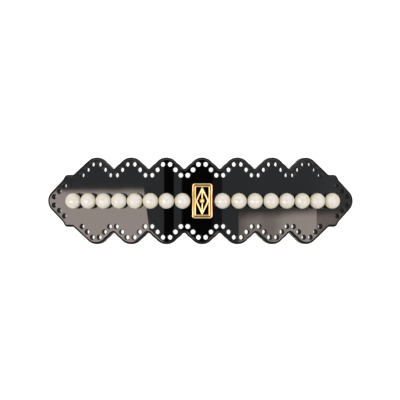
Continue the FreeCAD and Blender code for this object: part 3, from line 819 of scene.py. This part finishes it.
# Places on the stage are in metres, and a level is how strongly a board glows.
BOARD_FRONT = -0.18  # y where a board's brighter front part ends
BOARD_EVEN = -0.06  # y where its even part starts
FADED = 0.62  # the level that a board's back edge fades to, which is the ceiling's
LEFT_OUTER = -0.75
LEFT_LEVEL = 7.9
LEFT_STEPS = (  # y, the board's inner edge there, level
    (BOARD_FRONT, -0.1275, 2 * LEFT_LEVEL), (BOARD_EVEN, -0.1275, LEFT_LEVEL), (-0.020, -0.1275, LEFT_LEVEL),
    (0.0030, -0.1505, LEFT_LEVEL), (0.0054, -0.1530, FADED),
)
RIGHT_LEVELS = (  # x, level
    (0.120, 2.7), (0.150, 4.6), (0.178, 5.4), (0.205, 4.2), (0.235, 4.4), (0.275, 7.0), (0.310, 7.6),
    (0.437, 7.8),
)
RIGHT_EDGE = (-0.0056, 0.004)  # y of its back edge at its inner end, and the edge's slope
RIGHT_FADE = (-0.0025, 0.0015)  # where the fade starts and ends, from that edge
SIDE_LEVELS = ((0.438, 3.6), (0.9, 2.2))
SIDE_FADE = (-0.0078, -0.0045)
CEILING_BANDS = (  # x, level; the gaps are the dark stripes in the reflections
    (-0.9, 0.62), (-0.095, 0.62), (-0.093, 0), (-0.066, 0), (-0.064, 0.56), (-0.045, 0.56),
    (-0.040, 0), (0.044, 0), (0.046, 0.16), (0.073, 0.16), (0.074, 0.62), (0.4, 0.66),
    (0.55, 0.85), (0.9, 0.85),
)
CEILING_FRONT = (0.7, (-0.7, BOARD_FRONT - 0.01))  # level, and the y of its two edges
CEILING_MIDDLE = (BOARD_FRONT, 0.25)
CEILING_BACK = (1.6, (0.26, 0.9))
CEILING_RISE = 0.01  # how far it is above the boards
ROOM = (-0.9, 0.9)
TABLE_DEPTH = -0.02
TABLE_LEVEL = 0.6
FLOOR_REACH = 4.0
CAMERA_ASIDE = -0.75 * MM  # the barrette lies a little right of the middle and a little below it
CAMERA_ABOVE = 0.30 * MM


def glow(name, colour):
    """A card that glows by the level stored at each of its points."""
    material, tree = new_tree(name)
    level = add_node(tree, "ShaderNodeAttribute", attribute_name="level").outputs["Fac"]
    shader = add_node(tree, "ShaderNodeEmission", {"Color": hex_linear(colour), "Strength": level})
    add_node(tree, "ShaderNodeOutputMaterial", {"Surface": shader.outputs["Emission"]})
    return material


def add_card(name, rows, z, material):
    """A flat card facing down, seen only in reflections. Each row is a list of places (x, y, level), and the
    level runs evenly from place to place."""
    grid = np.array(rows, float)
    count = grid.shape[1]
    places = grid.reshape(-1, 3)
    corner = (np.arange(len(rows) - 1)[:, None] * count + np.arange(count - 1)).reshape(-1)
    mesh = bpy.data.meshes.new(name)
    squares = np.stack([corner, corner + count, corner + count + 1, corner + 1], -1)
    points = np.column_stack([places[:, :2], np.full(len(places), z)])
    mesh.from_pydata(points.tolist(), [], squares.tolist())
    mesh.attributes.new("level", "FLOAT", "POINT").data.foreach_set("value", places[:, 2])
    mesh.materials.append(material)
    card = bpy.data.objects.new(name, mesh)
    bpy.context.scene.collection.objects.link(card)
    card.visible_camera = False
    card.visible_diffuse = False
    card.visible_transmission = False
    card.visible_shadow = False


class BARRETTE_OT_stage(bpy.types.Operator):
    """Set the pale floor, the soft lights, the reflector cards and the camera"""

    bl_idname = "barrette.stage"
    bl_label = "Stage"

    def execute(self, context):
        settings = context.scene.barrette_stage
        scene = context.scene
        scene.view_settings.view_transform = "Standard"
        self.floor(scene)
        self.cards(settings.card_height)
        self.lights(scene)
        self.camera(scene, settings)
        return {"FINISHED"}

    @staticmethod
    def floor(scene):
        material, tree = new_tree("pale_light_table")
        place = add_node(tree, "ShaderNodeTexCoord").outputs["Object"]
        tint = add_node(
            tree, "ShaderNodeMix",
            {"Factor": noise(tree, place, 3.0), "A": hex_linear("#f7f7f7"), "B": hex_linear("#fafafa")},
            data_type="RGBA",
        ).outputs["Result"]
        shader = add_node(tree, "ShaderNodeBsdfPrincipled", {
            "Base Color": tint, "Roughness": 0.9, "Specular IOR Level": 0.0,
            "Emission Color": (1, 1, 1, 1), "Emission Strength": 0.62,
        })
        add_node(tree, "ShaderNodeOutputMaterial", {"Surface": shader.outputs["BSDF"]})
        mesh = bpy.data.meshes.new("floor")
        corners = [(x * FLOOR_REACH, y * FLOOR_REACH, 0) for x, y in ((-1, -1), (1, -1), (1, 1), (-1, 1))]
        mesh.from_pydata(corners, [], [(0, 1, 2, 3)])
        mesh.materials.append(material)
        floor = bpy.data.objects.new("floor", mesh)
        scene.collection.objects.link(floor)
        floor.visible_glossy = False
        world = bpy.data.worlds.new("pale_room")
        scene.world = world
        world.use_nodes = True
        world.node_tree.nodes["Background"].inputs["Color"].default_value = (1, 1, 1, 1)
        world.node_tree.nodes["Background"].inputs["Strength"].default_value = 0.6
        world.cycles_visibility.glossy = False
        world.cycles_visibility.diffuse = True

    @staticmethod
    def cards(z):
        """Two bright boards hang a little in front of the barrette, one each side, below a dim ceiling with
        gaps that is brightest at the back. A third, dimmer board carries on from the right one, and a card
        below gives the table's glow."""
        board = glow("board_glow", "#f6e5dc")
        left = [[(LEFT_OUTER, y, level), (x, y, level)] for y, x, level in LEFT_STEPS]
        add_card("left_board", left, z, board)
        inner = RIGHT_LEVELS[0][0]
        edge = [RIGHT_EDGE[0] + RIGHT_EDGE[1] * (x - inner) for x, level in RIGHT_LEVELS]
        add_card("right_board", [
            [(x, BOARD_FRONT, 2 * level) for x, level in RIGHT_LEVELS],
            [(x, BOARD_EVEN, level) for x, level in RIGHT_LEVELS],
            [(x, y + RIGHT_FADE[0], level) for (x, level), y in zip(RIGHT_LEVELS, edge)],
            [(x, y + RIGHT_FADE[1], FADED) for (x, level), y in zip(RIGHT_LEVELS, edge)],
        ], z, board)
        add_card("side_board", [
            [(x, BOARD_FRONT, level) for x, level in SIDE_LEVELS],
            [(x, SIDE_FADE[0], level) for x, level in SIDE_LEVELS],
            [(x, SIDE_FADE[1], FADED) for x, level in SIDE_LEVELS],
        ], z, board)
        ceiling = glow("ceiling_glow", "#f4f8ff")
        front, back = (
            [[(x, y, plain) for x, level in CEILING_BANDS] for y in edges]
            for plain, edges in (CEILING_FRONT, CEILING_BACK)
        )
        middle = [[(x, y, level) for x, level in CEILING_BANDS] for y in CEILING_MIDDLE]
        add_card("ceiling", [*front, *middle, *back], z + CEILING_RISE, ceiling)
        table = glow("table_glow", "#f3eee8")
        add_card("low_glow", [[(x, y, TABLE_LEVEL) for x in ROOM] for y in ROOM], TABLE_DEPTH, table)

    @staticmethod
    def lights(scene):
        """Two soft square lights, each turned to face the barrette: metres, metres, watts."""
        for name, place, size, power in (
            ("overhead", (-0.25, -0.1, 1.0), 1.1, 5.5),
            ("fill", (0.5, 0.5, 0.9), 0.8, 2.0),
        ):
            data = bpy.data.lights.new(name, "AREA")
            data.shape = "SQUARE"
            data.size = size
            data.energy = power
            light = bpy.data.objects.new(name, data)
            light.location = place
            x, y, z = place
            light.rotation_euler = (math.atan2(math.hypot(x, y), z), 0, math.atan2(y, x) + math.pi / 2)
            light.visible_glossy = False
            scene.collection.objects.link(light)

    @staticmethod
    def camera(scene, settings):
        data = bpy.data.cameras.new("camera")
        data.sensor_width = 36.0
        data.lens = data.sensor_width * settings.camera_distance / settings.field
        data.clip_start, data.clip_end = 0.1, 10.0
        camera = bpy.data.objects.new("camera", data)
        lean = settings.camera_lean
        camera.location = (
            CAMERA_ASIDE - settings.camera_distance * math.sin(lean), CAMERA_ABOVE,
            PLATE_HIGH[2] + settings.camera_distance * math.cos(lean),
        )
        camera.rotation_euler = (0, -lean, 0)
        scene.collection.objects.link(camera)
        scene.camera = camera


# ---- panel and registration ----


class BARRETTE_PT_panel(bpy.types.Panel):
    """The barrette's pieces and stage, in the 3D view's sidebar"""

    bl_label = "Barrette"
    bl_idname = "BARRETTE_PT_panel"
    bl_space_type = "VIEW_3D"
    bl_region_type = "UI"
    bl_category = "Barrette"

    def draw(self, context):
        layout = self.layout
        for operator in OPERATORS:
            layout.operator(operator.bl_idname)
        for group in GROUPS:
            settings = getattr(context.scene, group)
            box = layout.box()
            for name in settings.bl_rna.properties.keys():
                if name not in {"rna_type", "name"}:
                    box.prop(settings, name)


OPERATORS = (BARRETTE_OT_plate, BARRETTE_OT_beads, BARRETTE_OT_emblem, BARRETTE_OT_clip, BARRETTE_OT_stage)
GROUPS = {
    "barrette_plate": PlateSettings, "barrette_beads": BeadSettings, "barrette_emblem": EmblemSettings,
    "barrette_clip": ClipSettings, "barrette_stage": StageSettings,
}


def register():
    for group in GROUPS.values():
        bpy.utils.register_class(group)
    for operator in OPERATORS:
        bpy.utils.register_class(operator)
    bpy.utils.register_class(BARRETTE_PT_panel)
    for name, group in GROUPS.items():
        setattr(bpy.types.Scene, name, bpy.props.PointerProperty(type=group))


def unregister():
    for name in GROUPS:
        delattr(bpy.types.Scene, name)
    bpy.utils.unregister_class(BARRETTE_PT_panel)
    for operator in reversed(OPERATORS):
        bpy.utils.unregister_class(operator)
    for group in reversed(GROUPS.values()):
        bpy.utils.unregister_class(group)


def main():
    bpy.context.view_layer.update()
    register()
    bpy.ops.barrette.plate()
    bpy.ops.barrette.beads()
    bpy.ops.barrette.emblem()
    bpy.ops.barrette.clip()
    bpy.ops.barrette.stage()
    bpy.context.view_layer.update()


if __name__ == "__main__":
    main()
